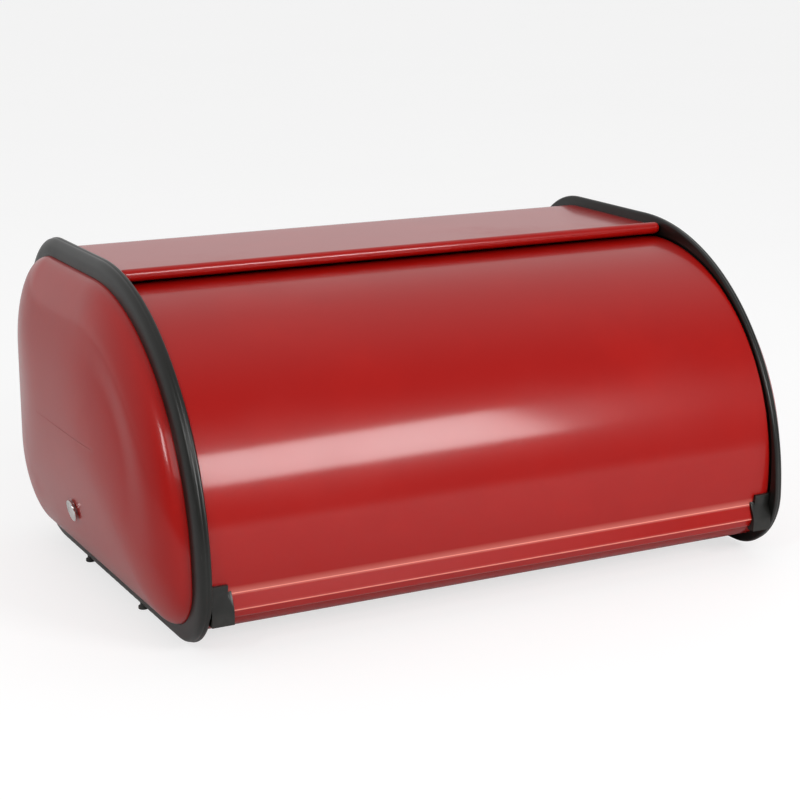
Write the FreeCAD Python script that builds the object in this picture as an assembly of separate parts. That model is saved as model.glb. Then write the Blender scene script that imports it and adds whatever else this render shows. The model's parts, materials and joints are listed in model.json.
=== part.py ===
import FreeCAD, Part
import math
import os

# Bread box with a rigid curved door that rolls up and back inside the box.
# Frame: +X to the right, +Y to the rear, +Z up, origin on the table under the centre.
# Angles around the door axis are measured upwards from the front: 0 looks to the front, 90 up.

V = FreeCAD.Vector
os.makedirs("parts", exist_ok=True)

# Overall sizes, in millimetres.
WIDTH = 440.0                 # over both domed end caps
DEPTH = 294.0                 # over the end frames, front to rear
HEIGHT = 196.5                # table to the top of the end frames
FOOT_HEIGHT = 2.0             # gap between the table and the end frames

# End frames: moulded rings that close the sheet at both ends.
FRAME_WIDTH = 7.6             # along X, inner wall to seam with the cap
RIM_PROUD = 6.5               # rim above the sheet
SEAM_INSET = 11.0             # rim to the opening that takes the cap
WEB = 3.4                     # plate that faces the inside
OPENING_INSET = 27.0          # rim to the large opening in the web
REAR_TOP_RADIUS = 60.0
REAR_BASE_RADIUS = 55.0
TOE_RADIUS = 39.5             # rim corner below the door
# Rim in section: share of the width from the inner wall, and depth below the outline.
RIM_SECTION = [(0.0, 1.0), (0.1, 0.2), (0.45, 0.0), (0.72, 0.9), (0.9, 3.4), (1.0, SEAM_INSET)]

# Sheet body.
SHEET = 0.8
TUCK = 2.0                    # sheet edges inside the frame
SLOT_GAP = 0.1
LIP_RADIUS = 3.7              # rolled front edge of the top
LIP_RAISE = 3.0               # roll above the top sheet
LIP_BLEND = 3.0               # hollow bend between the top sheet and the roll
LIP_SWEEP_END = 300.0         # where the roll stops, degrees from the rear
LIP_FROM_FRONT = 130.8        # rim front to the front of the roll
SILL_RADIUS = 18.0
SILL_BEHIND_GUIDE = 3.88      # lower end of the door's guides to the face of the sill
SILL_TOP = 30.0               # height above the table
SILL_HEM_RADIUS = 1.4
SILL_HEM_LENGTH = 5.0

# Door: one curved sheet with a handle folded along its lower edge.
FRONT_RADIUS = 155.0          # rim above the door
DOOR_RADIUS = 128.0           # outer face of the door
DOOR_SETBACK = 7.0            # rim front to the front of the door
DOOR_DROP = 6.8               # top sheet to the top of the door's circle
DOOR_END_GAP = 0.8            # door sheet to each frame wall
DOOR_TAIL = 106.0             # angle of the upper edge when shut
OPEN_ANGLE = 88.0             # travel
CREASE_HEIGHT = 36.2          # table to the crease above the handle
HANDLE_FLARE = 28.0           # outward fold at the crease, degrees
HANDLE_SLOPE = 8.4            # straight part of the sloping face
HANDLE_NOSE_TURN = 46.0       # fold at the nose, degrees
HANDLE_FACE = 4.0             # straight part of the front face
HANDLE_RETURN = 3.6           # flange that turns back under the handle
FOLD_RADIUS = 1.4

# Track and the four guides that run in it.
TRACK_DEPTH = 2.6
TRACK_INNER_GAP = 1.0         # inner face of the door sheet to the track's inner wall
TRACK_OUTER_GAP = 1.0
GUIDE_GAP = 0.3               # guide to the side walls of the track
GUIDE_REACH = 2.0             # guide inside the frame wall
STOP_GAP = 0.5                # guide to the ends of the track, at either limit
WALL_GAP = 0.4                # clips and sliders to the frame wall
TRACK_TO_OPENING = 9.0

# Handle clips and tail sliders.
CLIP_WIDTH = 13.0
CLIP_WALL = 1.7
CLIP_FIT = 0.05
TAB_WIDTH = 10.5
TAB_THICKNESS = 2.0
TAB_RISE = 2.6                # degrees of tab above the crease
TAB_ROOT = 1.0                # degrees of tab below the crease, inside the block
CLIP_TOP_COVER = 0.68         # block over the door sheet at its top corner
CLIP_TOP_ANGLE = 0.6          # degrees from the crease to that corner
CLIP_NOSE_COVER = 0.85        # block in front of the handle's nose
CLIP_HOLLOW_DEPTH = 30.0      # hollow behind the block, inwards from the door sheet
CLIP_HOLLOW_END = -60.0       # angle where that hollow ends
CLIP_INNER = 2.2              # plate behind the door sheet
GUIDE_BELOW = 7.0             # degrees of guide below the crease
SLIDER_WIDTH = 14.0
SLIDER_THICKNESS = 3.0
SLIDER_SPAN = 5.0             # degrees
RIVET_RADIUS = 1.3
RIVET_HEAD = 2.4
RIVET_HEAD_HEIGHT = 1.0
RIVET_FIT = 0.05
BLIND_RIVET_REACH = 1.4       # clip rivet inside the tab
RIVET_SEAT = 0.03             # flat head over the curve of the sheet

# End caps: pressed domes.
DOME = 26.0
DOME_RUN = 103.0              # width of the ellipse that rounds the dome
DOME_LAST = 70.0              # ellipse angle where the flat middle starts
DOME_STEPS = 8
CAP_FIT = 0.2
CAP_TAB = 12.0

# Fasteners.
HEAD_RADIUS = 3.0
HEAD_HEIGHT = 1.8
SHANK_RADIUS = 1.5
HOLE_FIT = 0.05
SCREW_END = 3.0               # shank past the pieces it holds
REAR_SCREW_END = 2.0
SIDE_LUG_SETBACK = 77.0       # rim front or rear to the lugs under the floor
LUG_LENGTH = 14.0
LUG_WIDTH = 12.0
LUG_THICKNESS = 3.0
REAR_LUG_HEIGHTS = (66.0, 118.0)
CAP_TAB_OFFSET = 6.0          # seam to the screws of the cap tabs
CAP_REAR_SCREW_HEIGHT = 88.0
CAP_TOP_SCREW_SETBACK = 72.0

# Feet.
FOOT_RADIUS = 3.0
FOOT_STEM_RADIUS = 1.9
FOOT_STEM = 4.0
FOOT_SETBACK = 100.0          # rim front or rear to the feet

# Badge: a plain disc on the left cap.
BADGE_RADIUS = 6.5
BADGE_THICKNESS = 1.4
BADGE_FROM_REAR = 147.0
BADGE_HEIGHT = 50.0
BADGE_PIN_RADIUS = 1.0
BADGE_PIN_OFFSET = 3.5
BADGE_PIN_LENGTH = 4.0
NUT_RADIUS = 2.9
NUT_THICKNESS = 0.7

CUT_PAST = 1.0                # cutting tools past the faces they cut

# Places that follow from the sizes above.
WALL_X = WIDTH / 2 - DOME - FRAME_WIDTH
SEAM_X = WALL_X + FRAME_WIDTH
FRONT_Y = -DEPTH / 2
REAR_Y = DEPTH / 2
TOP_SHEET_Z = HEIGHT - RIM_PROUD
FLOOR_Z = FOOT_HEIGHT + RIM_PROUD
REAR_SHEET_Y = REAR_Y - RIM_PROUD
AXIS_Y = FRONT_Y + DOOR_SETBACK + DOOR_RADIUS
AXIS_Z = TOP_SHEET_Z - DOOR_DROP - DOOR_RADIUS
CREASE = math.degrees(math.asin((CREASE_HEIGHT - AXIS_Z) / DOOR_RADIUS))
DOOR_X = WALL_X - DOOR_END_GAP
CLIP_X = WALL_X - WALL_GAP
DOOR_INSIDE = DOOR_RADIUS - SHEET
TRACK_INNER = DOOR_INSIDE - TRACK_INNER_GAP
TRACK_OUTER = DOOR_RADIUS + TRACK_OUTER_GAP
TAB_TOP = CREASE + TAB_RISE
GUIDE_LOW = CREASE - GUIDE_BELOW


def polar(radius, angle):
    """Y and Z of a point around the door axis."""
    turn = math.radians(angle)
    return AXIS_Y - radius * math.cos(turn), AXIS_Z + radius * math.sin(turn)


def arc_edge(x, y, z, radius, start, end):
    """Arc in a side plane, angles measured from +Y towards +Z."""
    turns = [math.radians(a) for a in (start, (start + end) / 2, end)]
    points = [V(x, y + radius * math.cos(t), z + radius * math.sin(t)) for t in turns]
    return Part.Arc(*points).toShape()


def side_line(x, y0, z0, y1, z1):
    return Part.makeLine(V(x, y0, z0), V(x, y1, z1))


def outline(x, inset, shrink=0.0):
    """Side outline at one x. An inset keeps the corner centres; a shrink also scales the corners."""
    low = FOOT_HEIGHT + inset + shrink
    high = HEIGHT - inset - shrink
    front = FRONT_Y + inset + shrink
    rear = REAR_Y - inset - shrink
    scale = 1 - shrink / ((HEIGHT - FOOT_HEIGHT) / 2 - inset)
    big, top, base, toe = [(r - inset) * scale for r in
                           (FRONT_RADIUS, REAR_TOP_RADIUS, REAR_BASE_RADIUS, TOE_RADIUS)]
    mid_y = front + big
    mid_z = high - big
    lean = math.asin((mid_z - low - toe) / (big - toe))
    toe_y = mid_y - (big - toe) * math.cos(lean)
    meet = 180 + math.degrees(lean)
    return Part.Wire([
        arc_edge(x, mid_y, mid_z, big, meet, 90),
        side_line(x, mid_y, high, rear - top, high),
        arc_edge(x, rear - top, high - top, top, 90, 0),
        side_line(x, rear, high - top, rear, low + base),
        arc_edge(x, rear - base, low + base, base, 0, -90),
        side_line(x, rear - base, low, toe_y, low),
        arc_edge(x, toe_y, low + toe, toe, 270, meet),
    ])


def slab(inset, x0, x1):
    """The side outline, inset, filled between two x."""
    return Part.Face(outline(x0, inset)).extrude(V(x1 - x0, 0, 0))


def box(x0, x1, y0, y1, z0, z1):
    return Part.makeBox(x1 - x0, y1 - y0, z1 - z0, V(x0, y0, z0))


def sector(x0, x1, inner, outer, low, high):
    """Block between two radii and two angles around the door axis."""
    edges = [
        arc_edge(x0, AXIS_Y, AXIS_Z, outer, 180 - low, 180 - high),
        side_line(x0, *polar(outer, high), *polar(inner, high)),
        arc_edge(x0, AXIS_Y, AXIS_Z, inner, 180 - high, 180 - low),
        side_line(x0, *polar(inner, low), *polar(outer, low)),
    ]
    return Part.Face(Part.Wire(edges)).extrude(V(x1 - x0, 0, 0))


def ribbon_side(x, y, z, heading, moves, offset):
    """Edges of a path, moved to its left by offset. A move is ("go", length) or
    ("turn", radius, degrees), and a positive turn bends to the left."""
    edges = []
    for move in moves:
        ahead = math.radians(heading)
        left_y, left_z = -math.sin(ahead), math.cos(ahead)
        if move[0] == "go":
            new_y = y + move[1] * math.cos(ahead)
            new_z = z + move[1] * math.sin(ahead)
            edges.append(side_line(x, y + offset * left_y, z + offset * left_z,
                                   new_y + offset * left_y, new_z + offset * left_z))
        else:
            radius, turn = move[1], move[2]
            side = 1 if turn > 0 else -1
            mid_y = y + side * radius * left_y
            mid_z = z + side * radius * left_z
            start = heading - 90 * side
            edges.append(arc_edge(x, mid_y, mid_z, radius - side * offset, start, start + turn))
            end = math.radians(start + turn)
            new_y = mid_y + radius * math.cos(end)
            new_z = mid_z + radius * math.sin(end)
            heading += turn
        y, z = new_y, new_z
    return edges


def ribbon(x0, x1, path, near, far):
    """Sheet along a path, between two offsets to the left of it, from x0 to x1."""
    one = ribbon_side(x0, *path, near)
    two = ribbon_side(x0, *path, far)
    joins = [Part.makeLine(one[0].firstVertex(True).Point, two[0].firstVertex(True).Point),
             Part.makeLine(one[-1].lastVertex(True).Point, two[-1].lastVertex(True).Point)]
    wire = Part.Wire(Part.__sortEdges__(one + two + joins))
    return Part.Face(wire).extrude(V(x1 - x0, 0, 0))


def body_path():
    """Outer face of the body sheet, from inside the lip round the rear to the sill's hem."""
    roll_y = FRONT_Y + LIP_FROM_FRONT + LIP_RADIUS
    roll_z = TOP_SHEET_Z + LIP_RAISE - LIP_RADIUS
    blend_rise = TOP_SHEET_Z + LIP_BLEND - roll_z
    reach = LIP_RADIUS + LIP_BLEND
    blend_run = math.sqrt(reach ** 2 - blend_rise ** 2)
    meet = math.degrees(math.atan2(blend_rise, blend_run))
    start = math.radians(LIP_SWEEP_END)
    top = REAR_TOP_RADIUS - RIM_PROUD
    base = REAR_BASE_RADIUS - RIM_PROUD
    sill_y = polar(TRACK_INNER + GUIDE_GAP, GUIDE_LOW)[0] + SILL_BEHIND_GUIDE
    moves = [
        ("turn", LIP_RADIUS, meet - LIP_SWEEP_END),
        ("turn", LIP_BLEND, 90 - meet),
        ("go", REAR_SHEET_Y - top - roll_y - blend_run),
        ("turn", top, -90),
        ("go", TOP_SHEET_Z - top - FLOOR_Z - base),
        ("turn", base, -90),
        ("go", REAR_SHEET_Y - base - sill_y - SILL_RADIUS),
        ("turn", SILL_RADIUS, -90),
        ("go", SILL_TOP - FLOOR_Z - SILL_RADIUS - SILL_HEM_RADIUS),
        ("turn", SILL_HEM_RADIUS, -180),
        ("go", SILL_HEM_LENGTH),
    ]
    return (roll_y + LIP_RADIUS * math.cos(start), roll_z + LIP_RADIUS * math.sin(start),
            LIP_SWEEP_END - 90, moves)


def door_path():
    """Outer face of the door sheet, from its upper edge down to the handle's return."""
    heading = 180 - DOOR_TAIL + 90
    down = 180 - CREASE + 90
    face = down - HANDLE_FLARE + HANDLE_NOSE_TURN
    moves = [
        ("turn", DOOR_RADIUS, DOOR_TAIL - CREASE),
        ("turn", FOLD_RADIUS, -HANDLE_FLARE),
        ("go", HANDLE_SLOPE),
        ("turn", FOLD_RADIUS, HANDLE_NOSE_TURN),
        ("go", HANDLE_FACE),
        ("turn", FOLD_RADIUS + SHEET, 360 - face),
        ("go", HANDLE_RETURN),
    ]
    return polar(DOOR_RADIUS, DOOR_TAIL) + (heading, moves)


def body_sheet(x0, x1, grow=0.0):
    return ribbon(x0, x1, body_path(), grow, -SHEET - grow)


def door_sheet(x0, x1, grow=0.0):
    return ribbon(x0, x1, door_path(), -grow, SHEET + grow)


def screw(head_face, direction, length, head=HEAD_RADIUS, rise=HEAD_HEIGHT, shank=SHANK_RADIUS):
    """Pan-head screw: the head's underside sits at head_face, the shank runs along direction."""
    body = Part.makeCylinder(head, rise, head_face - direction * rise, direction)
    return body.fuse(Part.makeCylinder(shank, length, head_face, direction)).removeSplitter()


def hole(point, direction, length, shank=SHANK_RADIUS):
    return Part.makeCylinder(shank + HOLE_FIT, length, point, direction)


def side_lug_points():
    """Where the floor screws meet the underside of the lugs, on the right."""
    x = WALL_X - LUG_WIDTH / 2
    return [V(x, y, FLOOR_Z - LUG_THICKNESS)
            for y in (FRONT_Y + SIDE_LUG_SETBACK, REAR_Y - SIDE_LUG_SETBACK)]


def rear_lug_points():
    """Where the rear screws meet the outside of the rear sheet, on the right."""
    x = WALL_X - LUG_WIDTH / 2
    return [V(x, REAR_SHEET_Y, z) for z in REAR_LUG_HEIGHTS]


def cap_tab_points():
    """Screws of the cap tabs on the web's inner face, with the way each tab points inwards."""
    near = SEAM_INSET + CAP_TAB_OFFSET
    low = FOOT_HEIGHT + near
    return [
        (V(WALL_X, FRONT_Y + SIDE_LUG_SETBACK, low), V(0, 0, 1)),
        (V(WALL_X, REAR_Y - SIDE_LUG_SETBACK, low), V(0, 0, 1)),
        (V(WALL_X, REAR_Y - near, CAP_REAR_SCREW_HEIGHT), V(0, -1, 0)),
        (V(WALL_X, REAR_Y - CAP_TOP_SCREW_SETBACK, HEIGHT - near), V(0, 0, -1)),
    ]


def feet_points():
    x = WALL_X + FRAME_WIDTH / 2
    return [V(x, y, 0) for y in (FRONT_Y + FOOT_SETBACK, REAR_Y - FOOT_SETBACK)]


def guide_limits():
    """Angles covered by the track: from under the clip's guide to behind the open tail."""
    gap = math.degrees(STOP_GAP / DOOR_RADIUS)
    return GUIDE_LOW - gap, DOOR_TAIL + OPEN_ANGLE + gap


def end_frame():
    """Right end frame."""
    frame = Part.makeLoft([outline(WALL_X + share * FRAME_WIDTH, inset) for share, inset in RIM_SECTION],
                          True, True)
    frame = frame.cut(slab(SEAM_INSET, WALL_X + WEB, SEAM_X + CUT_PAST))
    window = Part.makeCylinder(TRACK_INNER - TRACK_TO_OPENING, WEB + 2 * CUT_PAST,
                               V(WALL_X - CUT_PAST, AXIS_Y, AXIS_Z), V(1, 0, 0))
    frame = frame.cut(window.common(slab(OPENING_INSET, WALL_X - CUT_PAST, WALL_X + WEB + CUT_PAST)))
    frame = frame.fuse([box(WALL_X - LUG_WIDTH, WALL_X, p.y - LUG_LENGTH / 2, p.y + LUG_LENGTH / 2,
                            p.z, p.z + LUG_THICKNESS) for p in side_lug_points()])
    inside = REAR_SHEET_Y - SHEET
    frame = frame.fuse([box(WALL_X - LUG_WIDTH, WALL_X, inside - LUG_THICKNESS, inside,
                            p.z - LUG_LENGTH / 2, p.z + LUG_LENGTH / 2) for p in rear_lug_points()])
    frame = frame.removeSplitter()
    frame = frame.cut(body_sheet(WALL_X - CUT_PAST, WALL_X + TUCK + SLOT_GAP, SLOT_GAP))
    low, high = guide_limits()
    frame = frame.cut(sector(WALL_X - CUT_PAST, WALL_X + TRACK_DEPTH, TRACK_INNER, TRACK_OUTER, low, high))
    cutters = [hole(p, V(0, 0, 1), LUG_THICKNESS + CUT_PAST) for p in side_lug_points()]
    cutters += [hole(p - V(0, SHEET + LUG_THICKNESS + CUT_PAST, 0), V(0, 1, 0),
                     LUG_THICKNESS + 2 * CUT_PAST)
                for p in rear_lug_points()]
    cutters += [hole(p - V(CUT_PAST, 0, 0), V(1, 0, 0), WEB + 2 * CUT_PAST) for p, _ in cap_tab_points()]
    cutters += [hole(p, V(0, 0, 1), FOOT_HEIGHT + FOOT_STEM + HOLE_FIT, FOOT_STEM_RADIUS)
                for p in feet_points()]
    return frame.cut(cutters)


def dome_loft(thin):
    """Solid dome of the right cap. thin is how far its face lies inside the cap's outer face."""
    start = SEAM_INSET + CAP_FIT
    rise = DOME / math.sin(math.radians(DOME_LAST))
    sections = [outline(SEAM_X, start + thin)]
    for step in range(1, DOME_STEPS + 1):
        turn = math.radians(DOME_LAST * step / DOME_STEPS)
        slope_in, slope_out = rise * math.cos(turn), DOME_RUN * math.sin(turn)
        length = math.hypot(slope_in, slope_out)
        inwards = DOME_RUN * (1 - math.cos(turn)) + thin * slope_in / length
        outwards = rise * math.sin(turn) - thin * slope_out / length
        sections.append(outline(SEAM_X + outwards, start, inwards))
    return Part.makeLoft(sections, True, False)


def cap_solid(thin):
    """Dome and flange as one solid block."""
    flange = slab(SEAM_INSET + CAP_FIT + thin, WALL_X + WEB, SEAM_X)
    return flange.fuse(dome_loft(thin))


def end_cap():
    """Right end cap: a dome, a flange inside the frame and four folded tabs on the web."""
    cap = cap_solid(0).cut(cap_solid(SHEET))
    edge = SEAM_INSET + CAP_FIT + SHEET / 2
    for point, inwards in cap_tab_points():
        side = V(0, inwards.z, inwards.y)
        back = point - inwards * (SEAM_INSET + CAP_TAB_OFFSET - edge)
        far = point + inwards * (CAP_TAB / 2)
        corners = [back - side * (CAP_TAB / 2), back + side * (CAP_TAB / 2),
                   far + side * (CAP_TAB / 2), far - side * (CAP_TAB / 2)]
        ys = [c.y for c in corners]
        zs = [c.z for c in corners]
        cap = cap.fuse(box(WALL_X + WEB, WALL_X + WEB + SHEET, min(ys), max(ys), min(zs), max(zs)))
    cap = cap.removeSplitter()
    return cap.cut([hole(p, V(1, 0, 0), WEB + SHEET + CUT_PAST) for p, _ in cap_tab_points()])


def dome_x(cap_block, y, z):
    """Outer face of the cap at one place, seen along X."""
    probe = Part.makeLine(V(SEAM_X, y, z), V(WIDTH, y, z))
    return cap_block.common(probe).BoundBox.XMax


def badge_place(cap_block):
    """Point and outward normal for the badge on the right-hand dome."""
    y, z = REAR_Y - BADGE_FROM_REAR, BADGE_HEIGHT
    step = 2.0
    point = V(dome_x(cap_block, y, z), y, z)
    along_y = V(dome_x(cap_block, y + step, z), y + step, z) - point
    along_z = V(dome_x(cap_block, y, z + step), y, z + step) - point
    normal = along_y.cross(along_z)
    normal.normalize()
    return point, normal


def badge_parts():
    """Badge disc with two pins, the holes they need, and the push nuts, on the right-hand dome."""
    block = cap_solid(0)
    point, normal = badge_place(block)
    across = V(0, 1, 0).cross(normal)
    across.normalize()
    root = 3 * BADGE_THICKNESS     # the blank starts inside the dome, which then cuts its back to shape
    disc = Part.makeCylinder(BADGE_RADIUS, root + BADGE_THICKNESS, point - normal * root, normal)
    disc = disc.cut(block)
    pins = []
    holes = []
    nuts = []
    for side in (-1, 1):
        spot = point + across * (side * BADGE_PIN_OFFSET)
        tip = spot - normal * BADGE_PIN_LENGTH
        pins.append(Part.makeCylinder(BADGE_PIN_RADIUS, BADGE_PIN_LENGTH + BADGE_THICKNESS / 2, tip, normal))
        holes.append(Part.makeCylinder(BADGE_PIN_RADIUS + HOLE_FIT, 2 * BADGE_PIN_LENGTH,
                                       spot - normal * BADGE_PIN_LENGTH, normal))
        base = spot - normal * (2 * SHEET + NUT_THICKNESS)
        ring = Part.makeCylinder(NUT_RADIUS, NUT_THICKNESS, base, normal)
        nuts.append(ring.cut(Part.makeCylinder(BADGE_PIN_RADIUS + RIVET_FIT, NUT_THICKNESS, base, normal)))
    return disc.fuse(pins).removeSplitter(), holes, nuts


def body_shell():
    half = WALL_X + TUCK
    shell = body_sheet(-half, half)
    cutters = []
    for p in side_lug_points():
        cutters.append(hole(p, V(0, 0, 1), LUG_THICKNESS + SHEET + CUT_PAST))
    for p in rear_lug_points():
        cutters.append(hole(p - V(0, SHEET + CUT_PAST, 0), V(0, 1, 0), SHEET + 2 * CUT_PAST))
    cutters += [c.mirror(V(0, 0, 0), V(1, 0, 0)) for c in cutters]
    return shell.cut(cutters)


def clip_rivet_angle():
    return CREASE + TAB_RISE / 2


def radial_rivet(x, angle, inner, outer, blind=False):
    """Rivet through the door along a radius; a blind one has a head on the inside only."""
    inner -= RIVET_SEAT
    y, z = polar(inner, angle)
    turn = math.radians(angle)
    out = V(0, -math.cos(turn), math.sin(turn))
    low = V(x, y, z)
    rivet = Part.makeCylinder(RIVET_RADIUS, outer - inner, low, out)
    rivet = rivet.fuse(Part.makeCylinder(RIVET_HEAD, RIVET_HEAD_HEIGHT, low - out * RIVET_HEAD_HEIGHT, out))
    if not blind:
        rivet = rivet.fuse(Part.makeCylinder(RIVET_HEAD, RIVET_HEAD_HEIGHT, low + out * (outer - inner), out))
    bore = Part.makeCylinder(RIVET_RADIUS + RIVET_FIT, outer - inner, low, out)
    return rivet.removeSplitter(), bore


def clip_rivet():
    x = WALL_X - WALL_GAP - TAB_WIDTH / 2
    inner = DOOR_INSIDE - CLIP_INNER - CLIP_FIT
    outer = DOOR_RADIUS + BLIND_RIVET_REACH
    return radial_rivet(x, clip_rivet_angle(), inner, outer, blind=True)


def slider_angle():
    return DOOR_TAIL - SLIDER_SPAN / 2


def slider_rivet():
    x = WALL_X - WALL_GAP - SLIDER_WIDTH / 2
    inner = DOOR_INSIDE - SLIDER_THICKNESS - CLIP_FIT
    return radial_rivet(x, slider_angle(), inner, DOOR_RADIUS)


def door_panel():
    panel = door_sheet(-DOOR_X, DOOR_X)
    bores = [clip_rivet()[1], slider_rivet()[1]]
    bores += [b.mirror(V(0, 0, 0), V(1, 0, 0)) for b in bores]
    return panel.cut(bores)


def handle_nose():
    """Corners of the clip's outside: crease, nose, foot and the back of the return."""
    crease_y, crease_z = polar(DOOR_RADIUS + CLIP_TOP_COVER, CREASE + CLIP_TOP_ANGLE)
    slope = math.radians(180 - CREASE + 90 - HANDLE_FLARE)
    run = HANDLE_SLOPE + FOLD_RADIUS
    nose_y = crease_y + run * math.cos(slope) - CLIP_NOSE_COVER
    nose_z = crease_z + run * math.sin(slope)
    foot_z = nose_z - HANDLE_FACE - FOLD_RADIUS * 2 - CLIP_WALL
    return (crease_y, crease_z), (nose_y, nose_z), foot_z


def handle_clip():
    """Right handle clip: a block over the handle's end, a tab and a plate on the door, and a guide."""
    (crease_y, crease_z), (nose_y, nose_z), foot_z = handle_nose()
    back_y, _ = polar(DOOR_INSIDE, CREASE)
    x0 = CLIP_X - CLIP_WIDTH
    corners = [(back_y, crease_z), (crease_y, crease_z), (nose_y, nose_z), (nose_y, foot_z),
               (back_y, foot_z), (back_y, crease_z)]
    block = Part.Face(Part.makePolygon([V(x0, y, z) for y, z in corners])).extrude(V(CLIP_WIDTH, 0, 0))
    tab = sector(CLIP_X - TAB_WIDTH, CLIP_X, DOOR_RADIUS + CLIP_FIT, DOOR_RADIUS + TAB_THICKNESS,
                 CREASE - TAB_ROOT, TAB_TOP)
    plate = sector(CLIP_X - TAB_WIDTH, CLIP_X, DOOR_INSIDE - CLIP_INNER - CLIP_FIT, DOOR_INSIDE - CLIP_FIT,
                   CREASE - TAB_ROOT, TAB_TOP)
    side = sector(DOOR_X, CLIP_X, DOOR_INSIDE - CLIP_INNER - CLIP_FIT, DOOR_RADIUS + TAB_THICKNESS,
                  CREASE - TAB_ROOT, TAB_TOP)
    guide = sector(DOOR_X, WALL_X + GUIDE_REACH, TRACK_INNER + GUIDE_GAP, TRACK_OUTER - GUIDE_GAP,
                   GUIDE_LOW, TAB_TOP)
    clip = block.cut(door_sheet(x0 - CUT_PAST, DOOR_X + CLIP_FIT, CLIP_FIT))
    hollow = sector(x0 - CUT_PAST, CLIP_X + CUT_PAST, DOOR_INSIDE - CLIP_HOLLOW_DEPTH,
                    TRACK_INNER + GUIDE_GAP, CLIP_HOLLOW_END, CREASE - TAB_ROOT)
    clip = clip.cut(hollow)
    clip = clip.fuse([tab, plate, side, guide]).removeSplitter()
    clip = clip.cut(door_sheet(x0 - CUT_PAST, DOOR_X + CLIP_FIT, CLIP_FIT))
    return clip.cut(clip_rivet()[1])


def tail_slider():
    """Right slider: a shoe under the door's upper corner with a guide in the track."""
    low = DOOR_TAIL - SLIDER_SPAN
    shoe = sector(CLIP_X - SLIDER_WIDTH, CLIP_X, DOOR_INSIDE - SLIDER_THICKNESS - CLIP_FIT,
                  DOOR_INSIDE - CLIP_FIT, low, DOOR_TAIL)
    guide = sector(DOOR_X + CLIP_FIT, WALL_X + GUIDE_REACH, TRACK_INNER + GUIDE_GAP,
                   TRACK_OUTER - GUIDE_GAP, low, DOOR_TAIL)
    slider = shoe.fuse(guide).removeSplitter()
    return slider.cut(slider_rivet()[1])


def foot(point):
    """Rubber foot with a stem pushed into the frame."""
    pad = Part.makeCylinder(FOOT_RADIUS, FOOT_HEIGHT, point, V(0, 0, 1))
    stem = Part.makeCylinder(FOOT_STEM_RADIUS, FOOT_STEM, point + V(0, 0, FOOT_HEIGHT), V(0, 0, 1))
    return pad.fuse(stem).removeSplitter()


def mirrored(shape):
    return shape.mirror(V(0, 0, 0), V(1, 0, 0))


def save(name, *shapes):
    """Write one node: a solid, or a group of like solids."""
    shape = shapes[0] if len(shapes) == 1 else Part.makeCompound(shapes)
    shape.exportStep("parts/" + name + ".step")
    print(name, "solids", len(shape.Solids), "valid", shape.isValid(), "volume", round(shape.Volume, 1))


def save_pair(name, shape):
    save("left_" + name, mirrored(shape))
    save("right_" + name, shape)


def main():
    save("body_shell", body_shell())
    save_pair("end_frame", end_frame())

    badge, pin_holes, nuts = badge_parts()
    cap = end_cap()
    save("left_end_cap", mirrored(cap.cut(pin_holes)))
    save("right_end_cap", cap)
    save("badge", mirrored(badge))
    save("badge_push_nuts", *[mirrored(n) for n in nuts])

    save("door_panel", door_panel())
    save_pair("handle_clip", handle_clip())
    save_pair("tail_slider", tail_slider())
    save_pair("handle_clip_rivet", clip_rivet()[0])
    save_pair("tail_slider_rivet", slider_rivet()[0])

    floor_screws = [screw(p, V(0, 0, 1), LUG_THICKNESS + SHEET + SCREW_END) for p in side_lug_points()]
    save_pair("floor_screws", Part.makeCompound(floor_screws))
    rear_screws = [screw(p, V(0, -1, 0), SHEET + LUG_THICKNESS + REAR_SCREW_END) for p in rear_lug_points()]
    save_pair("rear_screws", Part.makeCompound(rear_screws))
    cap_screws = [screw(p, V(1, 0, 0), WEB + SHEET + SCREW_END) for p, _ in cap_tab_points()]
    save_pair("cap_screws", Part.makeCompound(cap_screws))

    front, rear = [foot(p) for p in feet_points()]
    save_pair("front_foot", front)
    save_pair("rear_foot", rear)


main()
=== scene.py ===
import json
import math

import bmesh
import bpy
import numpy as np
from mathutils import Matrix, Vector


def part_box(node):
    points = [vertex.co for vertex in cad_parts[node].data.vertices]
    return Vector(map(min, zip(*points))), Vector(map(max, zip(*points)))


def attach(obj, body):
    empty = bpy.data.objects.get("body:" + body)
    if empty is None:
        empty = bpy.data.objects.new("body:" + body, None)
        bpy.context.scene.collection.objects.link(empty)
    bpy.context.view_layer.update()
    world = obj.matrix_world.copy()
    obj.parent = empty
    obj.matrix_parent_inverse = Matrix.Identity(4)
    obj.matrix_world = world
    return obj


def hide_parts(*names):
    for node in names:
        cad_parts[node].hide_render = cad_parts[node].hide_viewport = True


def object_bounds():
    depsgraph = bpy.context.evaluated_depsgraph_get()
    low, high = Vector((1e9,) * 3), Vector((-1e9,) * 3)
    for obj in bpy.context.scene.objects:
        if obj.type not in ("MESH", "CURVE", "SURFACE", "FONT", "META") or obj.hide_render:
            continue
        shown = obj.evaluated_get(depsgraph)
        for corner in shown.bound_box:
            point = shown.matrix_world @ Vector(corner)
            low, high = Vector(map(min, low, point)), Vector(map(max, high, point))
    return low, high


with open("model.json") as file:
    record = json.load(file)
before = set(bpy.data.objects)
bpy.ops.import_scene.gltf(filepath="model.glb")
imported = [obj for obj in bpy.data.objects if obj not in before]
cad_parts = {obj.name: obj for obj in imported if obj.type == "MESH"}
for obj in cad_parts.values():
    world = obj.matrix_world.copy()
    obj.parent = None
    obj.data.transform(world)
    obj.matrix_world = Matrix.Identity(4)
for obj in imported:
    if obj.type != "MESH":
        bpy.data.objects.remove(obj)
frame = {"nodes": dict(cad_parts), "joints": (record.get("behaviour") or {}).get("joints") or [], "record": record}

# Looks of the bread box: enamelled sheet, moulded frames, small fittings, floor, light and camera.
# Lengths are in metres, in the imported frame. A side section is a list of (y, z) points.

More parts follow.
